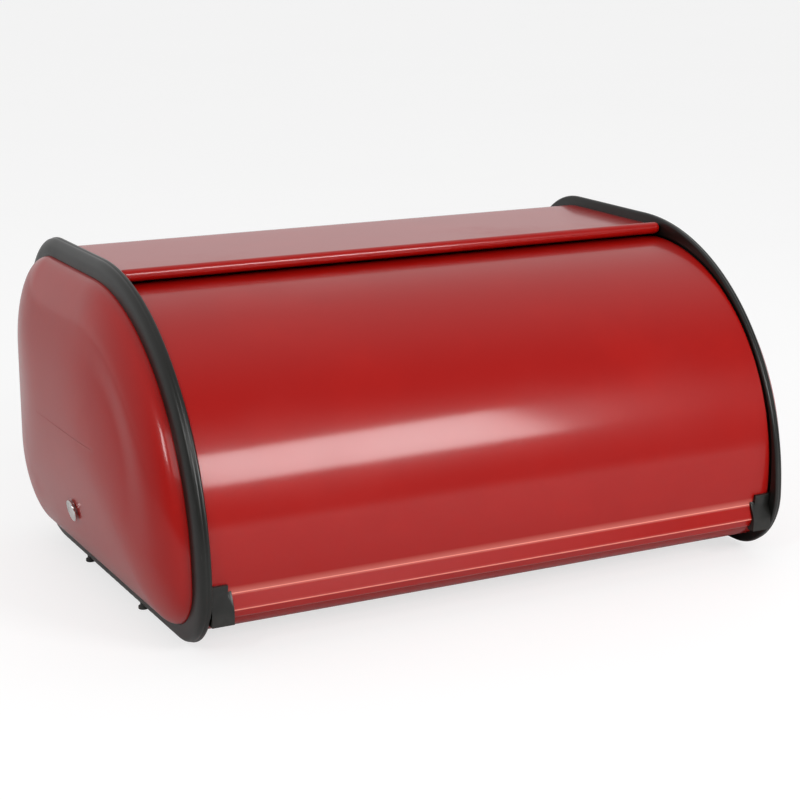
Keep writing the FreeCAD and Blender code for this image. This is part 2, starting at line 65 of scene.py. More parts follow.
CAD_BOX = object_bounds()
MM = 0.001
SHEET = 0.8 * MM
DOOR_END_GAP = 0.8 * MM        # door sheet to each frame wall

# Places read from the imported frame.
FRAME_LOW, FRAME_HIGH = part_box("right_end_frame")
DOOR_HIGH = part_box("door_panel")[1]
FRONT_Y, REAR_Y = FRAME_LOW.y, FRAME_HIGH.y
BASE_Z, TOP_Z = FRAME_LOW.z, FRAME_HIGH.z
SEAM_X = FRAME_HIGH.x
CAP_X = CAD_BOX[1].x
AXIS_Y, AXIS_Z = frame["joints"][0]["pos_m"][1:]
OPEN_ANGLE = frame["joints"][0]["range_deg"][1]
DOOR_RADIUS = DOOR_HIGH.z - AXIS_Z
DOOR_X = DOOR_HIGH.x
WALL_X = DOOR_X + DOOR_END_GAP
FRAME_WIDTH = SEAM_X - WALL_X

# Outline of the end frames.
FRONT_RADIUS = 155 * MM
REAR_TOP_RADIUS = 60 * MM
REAR_BASE_RADIUS = 55 * MM
TOE_RADIUS = 39.5 * MM
SEAM_INSET = 11 * MM
WEB = 3.4 * MM
OPENING_INSET = 27 * MM
TRACK_DEPTH = 2.6 * MM
TRACK_GAP = 1.0 * MM           # door sheet to either side wall of the track
TRACK_OUTER = DOOR_RADIUS + TRACK_GAP
TRACK_INNER = DOOR_RADIUS - SHEET - TRACK_GAP
GUIDE_BELOW = 7.0              # degrees from the crease to the lower end of the door's guides
STOP_GAP = 0.5 * MM            # guides to the ends of the track
TRACK_STEP = 1e-4              # degrees over which the track's ends drop
RIM_WALL = 0.6 * MM            # least wall between the track and the rim
TRACK_LEAST = 1.2 * MM
FRAME_ROUND = 0.4 * MM         # round on the frame's moulded edges
TRACK_TO_OPENING = 9 * MM
LUG_LENGTH = 14 * MM
LUG_WIDTH = 12 * MM
LUG_THICKNESS = 3 * MM
SIDE_LUG_SETBACK = 77 * MM
REAR_LUG_HEIGHTS = (66 * MM, 118 * MM)
LUG_ROUND = 0.6 * MM
LUG_ROOT = 0.2 * MM            # lug inside the wall it grows from

# Sheet body and door.
RIM_PROUD = 6.5 * MM
TUCK = 2 * MM
LIP_RADIUS = 3.7 * MM
LIP_RAISE = 3.0 * MM
LIP_BLEND = 3.0 * MM
LIP_SWEEP_END = 300.0
LIP_FROM_FRONT = 130.8 * MM
SILL_RADIUS = 18 * MM
SILL_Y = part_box("body_shell")[0].y
SILL_TOP = 30 * MM
SILL_HEM_RADIUS = 1.4 * MM
SILL_HEM_LENGTH = 5 * MM
DOOR_TAIL = 106.0
CREASE_HEIGHT = 36.2 * MM
HANDLE_FLARE = 28.0
HANDLE_SLOPE = 8.4 * MM
HANDLE_NOSE_TURN = 46.0
HANDLE_FACE = 4.0 * MM
HANDLE_RETURN = 3.6 * MM
FOLD_RADIUS = 1.4 * MM
FOLD_FADE = 0.36 * MM          # reach of the painted fold highlight on each side of a fold
EDGE_POINTS = 5                # points round the cut edge of a sheet

# Domed caps.
CAP_FIT = 0.2 * MM
DOME_RUN = 103 * MM
DOME_LAST = 70.0
DOME_BLUR = 11 * MM
DOME_GRID = 2 * MM             # spacing of the cap's height map
DOME_EXACT = 14 * MM           # border of the cap that keeps the plain ellipse
DOME_BLEND = 30 * MM           # band over which the blurred dome takes over
DOME_REACH = 0.998             # share of the way to the middle line that the rings go
CAP_SEAT = 0.2 * MM            # flange to the frame's web
CAP_MIDDLE = (TOP_Z - BASE_Z) / 2 - SEAM_INSET - CAP_FIT

TOP_SHEET_Z = TOP_Z - RIM_PROUD
FLOOR_Z = BASE_Z + RIM_PROUD
REAR_SHEET_Y = REAR_Y - RIM_PROUD
CREASE = math.degrees(math.asin((CREASE_HEIGHT - AXIS_Z) / DOOR_RADIUS))


# Shader groups.

def new_group(name, inputs, outputs):
    """Node group with float inputs {name: default} and outputs {name: socket type}."""
    group = bpy.data.node_groups.new(name, "ShaderNodeTree")
    for key, value in inputs.items():
        socket = group.interface.new_socket(key, in_out="INPUT", socket_type="NodeSocketFloat")
        socket.default_value = value
    for key, kind in outputs.items():
        group.interface.new_socket(key, in_out="OUTPUT", socket_type=kind)
    nodes = group.nodes
    return group, nodes, nodes.new("NodeGroupInput"), nodes.new("NodeGroupOutput")


def noise(nodes, links, coordinates, scale, detail=3.0, roughness=0.5):
    """Noise texture on the given coordinates, with scale linked or set."""
    texture = nodes.new("ShaderNodeTexNoise")
    texture.inputs["Detail"].default_value = detail
    texture.inputs["Roughness"].default_value = roughness
    links.new(coordinates, texture.inputs["Vector"])
    if isinstance(scale, (int, float)):
        texture.inputs["Scale"].default_value = scale
    else:
        links.new(scale, texture.inputs["Scale"])
    return texture.outputs["Fac"]


def math_node(nodes, links, operation, one, two, clamp=False):
    """Sum or product of two values; either may be a socket."""
    node = nodes.new("ShaderNodeMath")
    node.operation = operation
    node.use_clamp = clamp
    for socket, value in zip(node.inputs, (one, two)):
        if isinstance(value, (int, float)):
            socket.default_value = value
        else:
            links.new(value, socket)
    return node.outputs[0]


def range_node(nodes, links, value, low, high, to_low, to_high):
    """Smooth map of a value from one range to another; any end may be a socket."""
    node = nodes.new("ShaderNodeMapRange")
    node.interpolation_type = "SMOOTHSTEP"
    links.new(value, node.inputs["Value"])
    for key, end in zip(("From Min", "From Max", "To Min", "To Max"), (low, high, to_low, to_high)):
        if isinstance(end, (int, float)):
            node.inputs[key].default_value = end
        else:
            links.new(end, node.inputs[key])
    return node.outputs["Result"]


def peel_group():
    """Orange peel of sprayed enamel: soft pimples with a slower swell under them, as a height."""
    group, nodes, given, put = new_group(
        "enamel_peel", {"Pimple Scale": 420.0, "Swell Scale": 24.0, "Swell Share": 0.35},
        {"Height": "NodeSocketFloat"})
    links = group.links
    place = nodes.new("ShaderNodeTexCoord").outputs["Object"]
    fine = noise(nodes, links, place, given.outputs["Pimple Scale"], 1.0, 0.4)
    slow = noise(nodes, links, place, given.outputs["Swell Scale"], 1.5, 0.4)
    swell = math_node(nodes, links, "MULTIPLY", slow, given.outputs["Swell Share"])
    links.new(math_node(nodes, links, "ADD", fine, swell), put.inputs["Height"])
    return group


def grain_group():
    """Spark-eroded grain of a mould face: rounded cells broken up by noise, as a height."""
    group, nodes, given, put = new_group(
        "mould_grain", {"Cell Scale": 1500.0, "Break Up": 0.5}, {"Height": "NodeSocketFloat"})
    links = group.links
    place = nodes.new("ShaderNodeTexCoord").outputs["Object"]
    cells = nodes.new("ShaderNodeTexVoronoi")
    cells.feature = "SMOOTH_F1"
    links.new(place, cells.inputs["Vector"])
    links.new(given.outputs["Cell Scale"], cells.inputs["Scale"])
    breaks = noise(nodes, links, place, given.outputs["Cell Scale"], 2.0)
    share = math_node(nodes, links, "MULTIPLY", breaks, given.outputs["Break Up"])
    links.new(math_node(nodes, links, "ADD", cells.outputs["Distance"], share), put.inputs["Height"])
    return group


def handling_group():
    """Faint wiped film and fine dust: a mask of slow smears over quick specks, 0 clean to 1."""
    group, nodes, given, put = new_group(
        "handling_marks", {"Smear Scale": 9.0, "Speck Scale": 900.0, "Specks": 0.3},
        {"Mask": "NodeSocketFloat"})
    links = group.links
    place = nodes.new("ShaderNodeTexCoord").outputs["Object"]
    smear = noise(nodes, links, place, given.outputs["Smear Scale"], 5.0, 0.6)
    smear = range_node(nodes, links, smear, 0.42, 0.75, 0.0, 1.0)
    speck = noise(nodes, links, place, given.outputs["Speck Scale"], 2.0)
    speck = range_node(nodes, links, speck, 0.66, 0.76, 0.0, given.outputs["Specks"])
    links.new(math_node(nodes, links, "ADD", smear, speck, clamp=True), put.inputs["Mask"])
    return group


def edge_group():
    """Worn or thinly covered convex edges, also lightened as a painted sheen: pointiness of the surface, broken by
    noise, 0 to 1.
    """
    group, nodes, given, put = new_group(
        "edge_wear_and_sheen", {"Start": 0.53, "Full": 0.62, "Break Scale": 300.0}, {"Mask": "NodeSocketFloat"})
    links = group.links
    point = nodes.new("ShaderNodeNewGeometry").outputs["Pointiness"]
    place = nodes.new("ShaderNodeTexCoord").outputs["Object"]
    breaks = noise(nodes, links, place, given.outputs["Break Scale"], 3.0)
    edge = range_node(nodes, links, point, given.outputs["Start"], given.outputs["Full"], 0.0, 1.0)
    links.new(math_node(nodes, links, "MULTIPLY", edge, breaks, clamp=True), put.inputs["Mask"])
    return group


PEEL = peel_group()
GRAIN = grain_group()
HANDLING = handling_group()
EDGE = edge_group()


# Materials.

class Finish:
    """One material while it is put together: its nodes, its links and its Principled BSDF."""

    def __init__(self, name, **constants):
        self.material = bpy.data.materials.new(name)
        self.material.use_nodes = True
        self.nodes = self.material.node_tree.nodes
        self.links = self.material.node_tree.links
        self.shader = self.nodes["Principled BSDF"]
        for key, value in constants.items():
            self.shader.inputs[key.replace("_", " ")].default_value = value

    def group(self, tree, **values):
        node = self.nodes.new("ShaderNodeGroup")
        node.node_tree = tree
        for key, value in values.items():
            node.inputs[key.replace("_", " ")].default_value = value
        return node.outputs[0]

    def mix(self, mask, low, high):
        """Colour between two, by a mask."""
        node = self.nodes.new("ShaderNodeMix")
        node.data_type = "RGBA"
        node.inputs["A"].default_value = (*low, 1)
        node.inputs["B"].default_value = (*high, 1)
        self.links.new(mask, node.inputs["Factor"])
        return node.outputs["Result"]

    def over(self, mask, under, colour):
        """A colour laid over a colour socket where the mask is 1."""
        laid = self.mix(mask, colour, colour)
        self.links.new(under, laid.node.inputs["A"])
        return laid

    def feed(self, key, socket):
        self.links.new(socket, self.shader.inputs[key])

    def vary(self, key, mask, low, high):
        self.feed(key, range_node(self.nodes, self.links, mask, 0.0, 1.0, low, high))

    def bump(self, height, strength, distance):
        """Bump from a height, added over any earlier one."""
        node = self.nodes.new("ShaderNodeBump")
        node.inputs["Strength"].default_value = strength
        node.inputs["Distance"].default_value = distance
        self.links.new(height, node.inputs["Height"])
        if self.shader.inputs["Normal"].links:
            self.links.new(self.shader.inputs["Normal"].links[0].from_socket, node.inputs["Normal"])
        self.feed("Normal", node.outputs["Normal"])


def red_enamel():
    """Sprayed and baked red enamel under a clear gloss coat, with a paler painted highlight along the door's
    folds.
    """
    finish = Finish("red_enamel", Roughness=0.34, Coat_Weight=0.5, Coat_Roughness=0.12, Coat_IOR=1.45,
                    Specular_IOR_Level=0.15)
    marks = finish.group(HANDLING, Smear_Scale=7.0, Specks=0.18)
    slow = finish.group(HANDLING, Smear_Scale=16.0, Specks=0.0)
    # A pale red painted highlight is laid over the enamel along the door's two folds, read from a point attribute.
    fold_highlight = finish.nodes.new("ShaderNodeAttribute")
    fold_highlight.attribute_name = "painted_fold_highlight"
    paint = finish.mix(slow, (0.315, 0.0028, 0.0013), (0.34, 0.0038, 0.0018))
    finish.feed("Base Color", finish.over(fold_highlight.outputs["Fac"], paint, (0.85, 0.30, 0.24)))
    finish.vary("Roughness", marks, 0.32, 0.42)
    finish.bump(finish.group(PEEL), 0.10, 0.00012)
    return finish.material


def black_plastic():
    """Satin moulded plastic of the frames and handle clips, with a little shine on its edges."""
    finish = Finish("black_plastic", Roughness=0.36, Specular_IOR_Level=0.4)
    marks = finish.group(HANDLING, Smear_Scale=14.0, Specks=0.5)
    edge = finish.group(EDGE)
    # Convex edges are painted lighter: partly wear, partly a painted sheen.
    finish.feed("Base Color", finish.mix(edge, (0.0065, 0.0066, 0.0055), (0.020, 0.020, 0.0175)))
    finish.vary("Roughness", marks, 0.33, 0.46)
    finish.bump(finish.group(GRAIN), 0.12, 0.00006)
    return finish.material


def pale_plastic():
    """Slippery plastic of the tail sliders."""
    finish = Finish("slider_plastic", Roughness=0.45, Subsurface_Weight=0.08)
    marks = finish.group(HANDLING, Smear_Scale=40.0)
    finish.feed("Base Color", finish.mix(marks, (0.58, 0.57, 0.53), (0.44, 0.43, 0.39)))
    finish.bump(finish.group(GRAIN, Cell_Scale=900.0), 0.1, 0.00005)
    return finish.material


def zinc_steel():
    """Bright zinc plate on the screws, rivets and push nuts."""
    finish = Finish("zinc_steel", Metallic=1.0, Roughness=0.3)
    marks = finish.group(HANDLING, Smear_Scale=120.0, Specks=0.4)
    finish.feed("Base Color", finish.mix(marks, (0.68, 0.69, 0.71), (0.46, 0.46, 0.47)))
    finish.vary("Roughness", marks, 0.24, 0.5)
    finish.bump(finish.group(PEEL, Pimple_Scale=1800.0), 0.2, 0.00004)
    return finish.material


def foot_rubber():
    """Dull moulded rubber, a little dusty."""
    finish = Finish("rubber_feet", Roughness=0.8)
    marks = finish.group(HANDLING, Smear_Scale=60.0, Specks=0.6)
    finish.feed("Base Color", finish.mix(marks, (0.022, 0.022, 0.022), (0.07, 0.068, 0.063)))
    finish.bump(finish.group(GRAIN, Cell_Scale=700.0), 0.35, 0.0001)
    return finish.material


def badge_metal():
    """Satin chrome disc."""
    finish = Finish("chrome_badge", Metallic=1.0, Roughness=0.2)
    marks = finish.group(HANDLING, Smear_Scale=90.0, Specks=0.3)
    finish.feed("Base Color", finish.mix(marks, (0.72, 0.71, 0.70), (0.5, 0.49, 0.48)))
    finish.vary("Roughness", marks, 0.16, 0.34)
    return finish.material


MATERIALS = {
    "red_enamel": red_enamel(),
    "black_plastic": black_plastic(),
    "slider_plastic": pale_plastic(),
    "zinc_steel": zinc_steel(),
    "rubber_feet": foot_rubber(),
    "chrome_badge": badge_metal(),
}


# Meshes.

def piece(name, points, faces, slot, body, replaces=()):
    """Smooth-shaded mesh object from arrays of points and quads, riding on a body."""
    mesh = bpy.data.meshes.new(name)
    mesh.from_pydata(np.asarray(points).reshape(-1, 3).tolist(), [], np.asarray(faces).tolist())
    mesh.validate()
    mesh.shade_smooth()
    obj = bpy.data.objects.new(name, mesh)
    bpy.context.scene.collection.objects.link(obj)
    mesh.materials.append(MATERIALS[slot])
    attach(obj, body)
    if replaces:
        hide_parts(*replaces)
    return obj


def grid_faces(rows, columns, wrap_rows=False, wrap_columns=False, first=0):
    """Quads between neighbours of a grid that is stored row by row."""
    i = np.arange(rows if wrap_rows else rows - 1)[:, None]
    j = np.arange(columns if wrap_columns else columns - 1)[None, :]
    i_next = (i + 1) % rows
    j_next = (j + 1) % columns
    corners = [i * columns + j, i * columns + j_next, i_next * columns + j_next, i_next * columns + j]
    return first + np.stack(np.broadcast_arrays(*corners), axis=-1).reshape(-1, 4)


def arc_steps(radius, turn):
    """Steps of an arc: about one every 2 degrees, and never longer than 4 mm."""
    return max(4, int(math.ceil(max(abs(turn) / 2, radius * math.radians(abs(turn)) / (4 * MM)))))


def trace(y, z, heading, moves):
    """Path of straight runs and tangent arcs. A move is ("go", length) or ("turn", radius, degrees),
    where a positive turn bends to the left. Returns the points and their unit normals to the left."""
    points, headings = [np.array([[y, z]])], [np.array([heading])]
    for move in moves:
        start = np.array([y, z])
        if move[0] == "go":
            share = np.linspace(0, 1, 9)[1:, None]
            ahead = np.array([math.cos(math.radians(heading)), math.sin(math.radians(heading))])
            run = start + share * move[1] * ahead
            angles = np.full(len(run), heading)
        else:
            radius, turn = move[1], move[2]
            side = 1 if turn > 0 else -1
            steps = np.linspace(0, turn, arc_steps(radius, turn) + 1)[1:]
            out = np.radians(heading - 90 * side)
            centre = start - radius * np.array([math.cos(out), math.sin(out)])
            swing = out + np.radians(steps)
            run = centre + radius * np.stack([np.cos(swing), np.sin(swing)], axis=1)
            angles = heading + steps
            heading += turn
        y, z = run[-1]
        points.append(run)
        headings.append(angles)
    points = np.concatenate(points)
    ahead = np.radians(np.concatenate(headings))
    return points, np.stack([-np.sin(ahead), np.cos(ahead)], axis=1)


def sheet_section(points, normals, near, far):
    """Closed section of a sheet: out along one face, a rounded edge, back along the other face."""
    middle, half = (near + far) / 2, abs(far - near) / 2
    turns = np.linspace(0, math.pi, EDGE_POINTS + 2)[1:-1][:, None]
    side = 1 if far > near else -1

    def edge(at, way, normal):
        base = points[at] + normals[at] * middle
        return base + half * (-normal * side * np.cos(turns) + way * np.sin(turns))

    last = np.array([normals[-1][1], -normals[-1][0]])
    first = np.array([-normals[0][1], normals[0][0]])
    return np.concatenate([
        points + normals * near,
        edge(-1, last, normals[-1]),
        (points + normals * far)[::-1],
        edge(0, first, -normals[0]),
    ])


def extruded(section, stations, shape=None):
    """Grid of a closed section repeated at each x. A shape function may move its y and z there."""
    rows, columns = len(stations), len(section)
    x = np.broadcast_to(np.asarray(stations)[:, None], (rows, columns))
    y = np.broadcast_to(section[:, 0], (rows, columns))
    z = np.broadcast_to(section[:, 1], (rows, columns))
    if shape:
        y, z = shape(x, y, z)
    return np.stack([x, y, z], axis=-1)


def sheet_piece(name, path, near, far, half, body, shape=None, columns=61):
    """A sheet along a path, from -half to +half, closed at both ends by strips of quads."""
    points, normals = path
    section = sheet_section(points, normals, near, far)
    stations = half * np.sin(np.linspace(-math.pi / 2, math.pi / 2, columns))
    if shape:
        corner = WALL_X - LIP_RADIUS * np.cos(np.linspace(0, math.pi / 2, 9))
        stations = np.unique(np.concatenate([stations[np.abs(stations) < corner[0]], corner, -corner,
                                             [-half, half]]))
    grid = extruded(section, stations, shape)
    rows, count = grid.shape[:2]
    faces = grid_faces(rows, count, wrap_columns=True)
    low = np.arange(len(points) - 1)
    high = 2 * len(points) + EDGE_POINTS - 1 - low
    strip = np.stack([low, low + 1, high - 1, high], axis=1)
    ends = [strip, (strip + (rows - 1) * count)[:, ::-1]]
    node = name.replace("_skin", "")
    obj = piece(name, grid, np.concatenate([faces, *ends]), "red_enamel", body, [node])
    outward(obj)
    return obj


def outward(obj):
    """Merges doubles and turns all faces outwards."""
    work = bmesh.new()
    work.from_mesh(obj.data)
    bmesh.ops.remove_doubles(work, verts=work.verts, dist=1e-6)
    bmesh.ops.recalc_face_normals(work, faces=work.faces)
    work.to_mesh(obj.data)
    work.free()
    obj.data.shade_smooth()


def sharp_edges(obj, degrees=35):
    """Keeps edges over an angle sharp, so that flat faces stay flat in the light."""
    modifier = obj.modifiers.new("edges", "EDGE_SPLIT")
    modifier.split_angle = math.radians(degrees)


# Sheet body.

def body_path():
    """Outer face of the body sheet, from inside the roll of the lip round the rear to the sill's hem."""
    roll_y = FRONT_Y + LIP_FROM_FRONT + LIP_RADIUS
    roll_z = TOP_SHEET_Z + LIP_RAISE - LIP_RADIUS
    blend_rise = TOP_SHEET_Z + LIP_BLEND - roll_z
    blend_run = math.sqrt((LIP_RADIUS + LIP_BLEND) ** 2 - blend_rise ** 2)
    meet = math.degrees(math.atan2(blend_rise, blend_run))
    start = math.radians(LIP_SWEEP_END)
    top = REAR_TOP_RADIUS - RIM_PROUD
    base = REAR_BASE_RADIUS - RIM_PROUD
    moves = [
        ("turn", LIP_RADIUS, meet - LIP_SWEEP_END),
        ("turn", LIP_BLEND, 90 - meet),
        ("go", REAR_SHEET_Y - top - roll_y - blend_run),
        ("turn", top, -90),
        ("go", TOP_SHEET_Z - top - FLOOR_Z - base),
        ("turn", base, -90),
        ("go", REAR_SHEET_Y - base - SILL_Y - SILL_RADIUS),
        ("turn", SILL_RADIUS, -90),
        ("go", SILL_TOP - FLOOR_Z - SILL_RADIUS - SILL_HEM_RADIUS),
        ("turn", SILL_HEM_RADIUS, -180),
        ("go", SILL_HEM_LENGTH),
    ]
    return trace(roll_y + LIP_RADIUS * math.cos(start), roll_z + LIP_RADIUS * math.sin(start),
                 LIP_SWEEP_END - 90, moves)


def rolled_end(x, y, z):
    """Rounds the lip off at the walls. Over the last roll radius before a wall, points near the roll
    move towards its centre by 1 - sqrt(1 - t*t), where t grows from 0 to 1 on the way to the wall."""
    roll_y = FRONT_Y + LIP_FROM_FRONT + LIP_RADIUS
    roll_z = TOP_SHEET_Z + LIP_RAISE - LIP_RADIUS
    t = np.clip((np.abs(x) - (WALL_X - LIP_RADIUS)) / LIP_RADIUS, 0, 1)
    pull = 1 - np.sqrt(np.clip(1 - t * t, 0.04, 1))
    reach = np.hypot(y - roll_y, z - roll_z)
    near = np.clip((3 * LIP_RADIUS - reach) / (2 * LIP_RADIUS), 0, 1)
    pull = pull * near * near * (3 - 2 * near)
    return y + (roll_y - y) * pull, z + (roll_z - z) * pull


def body_skin():
    return sheet_piece("body_shell_skin", body_path(), 0.0, -SHEET, WALL_X + TUCK, "box", rolled_end)


# Door.

def door_path():
    """Outer face of the door sheet, from its upper edge down to the handle's return."""
    tail = math.radians(DOOR_TAIL)
    down = 180 - CREASE + 90
    face = down - HANDLE_FLARE + HANDLE_NOSE_TURN
    moves = [
        ("turn", DOOR_RADIUS, DOOR_TAIL - CREASE),
        ("turn", FOLD_RADIUS, -HANDLE_FLARE),
        ("go", HANDLE_SLOPE),
        ("turn", FOLD_RADIUS, HANDLE_NOSE_TURN),
        ("go", HANDLE_FACE),
        ("turn", FOLD_RADIUS + SHEET, 360 - face),
        ("go", HANDLE_RETURN),
    ]
    return trace(AXIS_Y - DOOR_RADIUS * math.cos(tail), AXIS_Z + DOOR_RADIUS * math.sin(tail),
                 180 - DOOR_TAIL + 90, moves)


def fold_corners():
    """Where the flat faces beside the crease and beside the nose would meet, as (y, z). A fold of radius
    r and turn t starts r * tan(t / 2) before its corner."""
    crease, slope = math.radians(CREASE), math.radians(270 - CREASE - HANDLE_FLARE)
    before = FOLD_RADIUS * math.tan(math.radians(HANDLE_FLARE / 2))
    run = before + HANDLE_SLOPE + FOLD_RADIUS * math.tan(math.radians(HANDLE_NOSE_TURN / 2))
    first = (AXIS_Y - DOOR_RADIUS * math.cos(crease) - before * math.sin(crease),
             AXIS_Z + DOOR_RADIUS * math.sin(crease) - before * math.cos(crease))
    return first, (first[0] + run * math.cos(slope), first[1] + run * math.sin(slope))


def door_skin():
    """The door's sheet, with a painted highlight along its two folds: exp(-(distance / width) ** 2)."""
    obj = sheet_piece("door_panel_skin", door_path(), 0.0, SHEET, DOOR_X, "door")
    points = np.empty(3 * len(obj.data.vertices))
    obj.data.vertices.foreach_get("co", points)
    points = points.reshape(-1, 3)
    # Painted highlight along the folds, strongest on each fold's corner line.
    fold_highlight = np.zeros(len(points))
    for y, z in fold_corners():
        away = np.hypot(points[:, 1] - y, points[:, 2] - z)
        fold_highlight = np.maximum(fold_highlight, np.exp(-(away / FOLD_FADE) ** 2))
    mark = obj.data.attributes.new("painted_fold_highlight", "FLOAT", "POINT")
    mark.data.foreach_set("value", fold_highlight)


# End frames.

def outline(inset, shrink=0.0):
    """Side outline of a frame or cap: four arcs joined by straight runs. They are the front arc over the
    door, the two rear corners and the toe. An inset keeps the arcs' centres. A shrink also scales their
    radii towards the middle line."""
    low, high = BASE_Z + inset + shrink, TOP_Z - inset - shrink
    front, rear = FRONT_Y + inset + shrink, REAR_Y - inset - shrink
    scale = 1 - shrink / ((TOP_Z - BASE_Z) / 2 - inset)
    big, top, base, toe = [(r - inset) * scale for r in
                           (FRONT_RADIUS, REAR_TOP_RADIUS, REAR_BASE_RADIUS, TOE_RADIUS)]
    mid_y, mid_z = front + big, high - big
    spread = max(big - toe, 1e-9)
    lean = math.asin(max(-1.0, min(1.0, (mid_z - low - toe) / spread)))
    toe_y = mid_y - spread * math.cos(lean)
    meet = 180 + math.degrees(lean)
    arcs = [(mid_y, mid_z, big, meet, 90, 90), (rear - top, high - top, top, 90, 0, 40),
            (rear - base, low + base, base, 0, -90, 40), (toe_y, low + toe, toe, 270, meet, 40)]
    runs = []
    for y, z, radius, start, end, count in arcs:
        turn = np.radians(np.linspace(start, end, count + 1))
        runs.append(np.stack([y + radius * np.cos(turn), z + radius * np.sin(turn)], axis=1))
    joined = []
    for at, run in enumerate(runs):
        following = runs[(at + 1) % len(runs)]
        share = np.linspace(0, 1, 25)[1:-1, None]
        joined += [run, run[-1] + share * (following[0] - run[-1])]
    return np.concatenate(joined)


def spokes(points, angles):
    """Distance from the door axis to a closed outline, along rays at the given angles."""
    turn = np.arctan2(points[:, 1] - AXIS_Z, points[:, 0] - AXIS_Y)
    reach = np.hypot(points[:, 0] - AXIS_Y, points[:, 1] - AXIS_Z)
    order = np.argsort(turn)
    return np.interp(angles, turn[order], reach[order], period=2 * math.pi)


# Rim in section, from the wall to the seam: share of the width, and depth in mm below the outline.
# A bead runs beside the wall, then a shallow valley, and then a broad round slope down to the cap.
RIM_SHARES = (0.0, 0.02, 0.07, 0.13, 0.20, 0.27, 0.33, 0.38, 0.44,
              0.52, 0.60, 0.68, 0.76, 0.84, 0.91, 0.96, 1.0)
RIM_DEPTHS = (1.30, 0.60, 0.20, 0.03, 0.0, 0.10, 0.42, 0.55, 0.52,
              0.62, 0.95, 1.5, 2.3, 3.5, 5.2, 7.4, 11.0)


def rim_profile():
    """The rim's section drawn smoothly through its shape points: share of width, depth in metres."""
    steps = np.linspace(0, len(RIM_SHARES) - 1, 4 * (len(RIM_SHARES) - 1) + 1)
    at = np.arange(len(RIM_SHARES))
    share, depth = np.interp(steps, at, RIM_SHARES), np.interp(steps, at, RIM_DEPTHS)
    soft = np.array([1.0, 2.0, 3.0, 2.0, 1.0]) / 9
    for values in (share, depth):
        values[2:-2] = np.convolve(values, soft, mode="valid")
    return share, depth * MM


def end_frame(side):
    """One end frame as a closed ring. Each ray from the door axis carries one section: the window's
    edge, the wall with the door's track sunk into it, the rim, and the recess for the cap."""
    angles = np.radians(np.arange(-180, 180, 0.5))
    stop = math.degrees(STOP_GAP / DOOR_RADIUS)
    low = 180 - (DOOR_TAIL + OPEN_ANGLE + stop)
    high = 180 - (CREASE - GUIDE_BELOW - stop)
    ends = np.radians([low, low + TRACK_STEP, high, high + TRACK_STEP])
    angles = np.unique(np.concatenate([angles, ends, ends - 2 * math.pi]))
    angles = angles[(angles >= -math.pi) & (angles < math.pi)]
    in_track = (np.degrees(angles) - low - TRACK_STEP / 2) % 360 < high - low
    sunk = TRACK_DEPTH * in_track
    window = np.minimum(spokes(outline(OPENING_INSET), angles), TRACK_INNER - TRACK_TO_OPENING)
    share, depth = rim_profile()
    rim = [spokes(outline(inset), angles) for inset in depth]
    recess = spokes(outline(SEAM_INSET), angles)
    wall_end = rim[0]
    track_out = np.minimum(TRACK_OUTER, wall_end - RIM_WALL)
    track_in = np.minimum(TRACK_INNER, wall_end - RIM_WALL - TRACK_LEAST)
    flat = np.zeros_like(angles)
    rows = [
        (window, flat + WEB - FRAME_ROUND),
        (window, flat + FRAME_ROUND),
        (window + FRAME_ROUND, flat),
        (track_in - FRAME_ROUND, flat),
        (track_in, np.minimum(FRAME_ROUND, sunk)),
        (track_in, sunk),
        (track_out, sunk),
        (track_out, np.minimum(FRAME_ROUND, sunk)),
        (np.minimum(track_out + FRAME_ROUND, wall_end), flat),
    ]
    rows += [(reach, flat + part * FRAME_WIDTH) for reach, part in zip(rim, share)]
    rows += [
        (recess, flat + FRAME_WIDTH - FRAME_ROUND),
        (recess, flat + WEB),
        (window + FRAME_ROUND, flat + WEB),
    ]
    reach = np.stack([r for r, _ in rows])
    across = np.stack([x for _, x in rows])
    y, z = AXIS_Y + reach * np.cos(angles), AXIS_Z + reach * np.sin(angles)
    grid = np.stack([side * (WALL_X + across), y, z], axis=-1)
    name = ("left" if side < 0 else "right") + "_end_frame"
    faces = grid_faces(len(rows), len(angles), wrap_rows=True, wrap_columns=True)
    obj = piece(name + "_ring", grid, faces, "black_plastic", "box", [name])
    outward(obj)
    sharp_edges(obj, 40)
    frame_lugs(side, name)


def rounded_block(low, high, radius):
    """Box with round edges. Each direction on a sphere gives one point: the corner that it looks to,
    drawn in by the radius, plus the radius along the direction."""
    turn = np.radians(np.arange(7.5, 360, 15))
    tilt = np.radians(np.linspace(-90, 90, 8))[:, None]
    way = np.stack(np.broadcast_arrays(np.cos(tilt) * np.cos(turn), np.cos(tilt) * np.sin(turn),
                                       np.sin(tilt)), axis=-1)
    low, high = np.array(low), np.array(high)
    return (low + high) / 2 + np.sign(way) * ((high - low) / 2 - radius) + radius * way


def frame_lugs(side, name):
    """The four screw lugs on a frame's inner wall: two under the floor and two inside the rear sheet."""
    inner, wall = WALL_X - LUG_WIDTH, WALL_X + LUG_ROOT
    half = LUG_LENGTH / 2
    spans = [((inner, y - half, FLOOR_Z - LUG_THICKNESS), (wall, y + half, FLOOR_Z))
             for y in (FRONT_Y + SIDE_LUG_SETBACK, REAR_Y - SIDE_LUG_SETBACK)]
    inside = REAR_SHEET_Y - SHEET
    spans += [((inner, inside - LUG_THICKNESS, z - half), (wall, inside, z + half))
              for z in REAR_LUG_HEIGHTS]
    blocks = np.stack([rounded_block(low, high, LUG_ROUND) for low, high in spans])
    rows, columns = blocks.shape[1:3]
    faces = np.concatenate([grid_faces(rows, columns, wrap_columns=True, first=at * rows * columns)
                            for at in range(len(blocks))])
    blocks[..., 0] *= side
    obj = piece(name + "_lugs", blocks, faces, "black_plastic", "box", [name])
    close_ends(obj)
    outward(obj)
    sharp_edges(obj, 30)


# Domed caps.

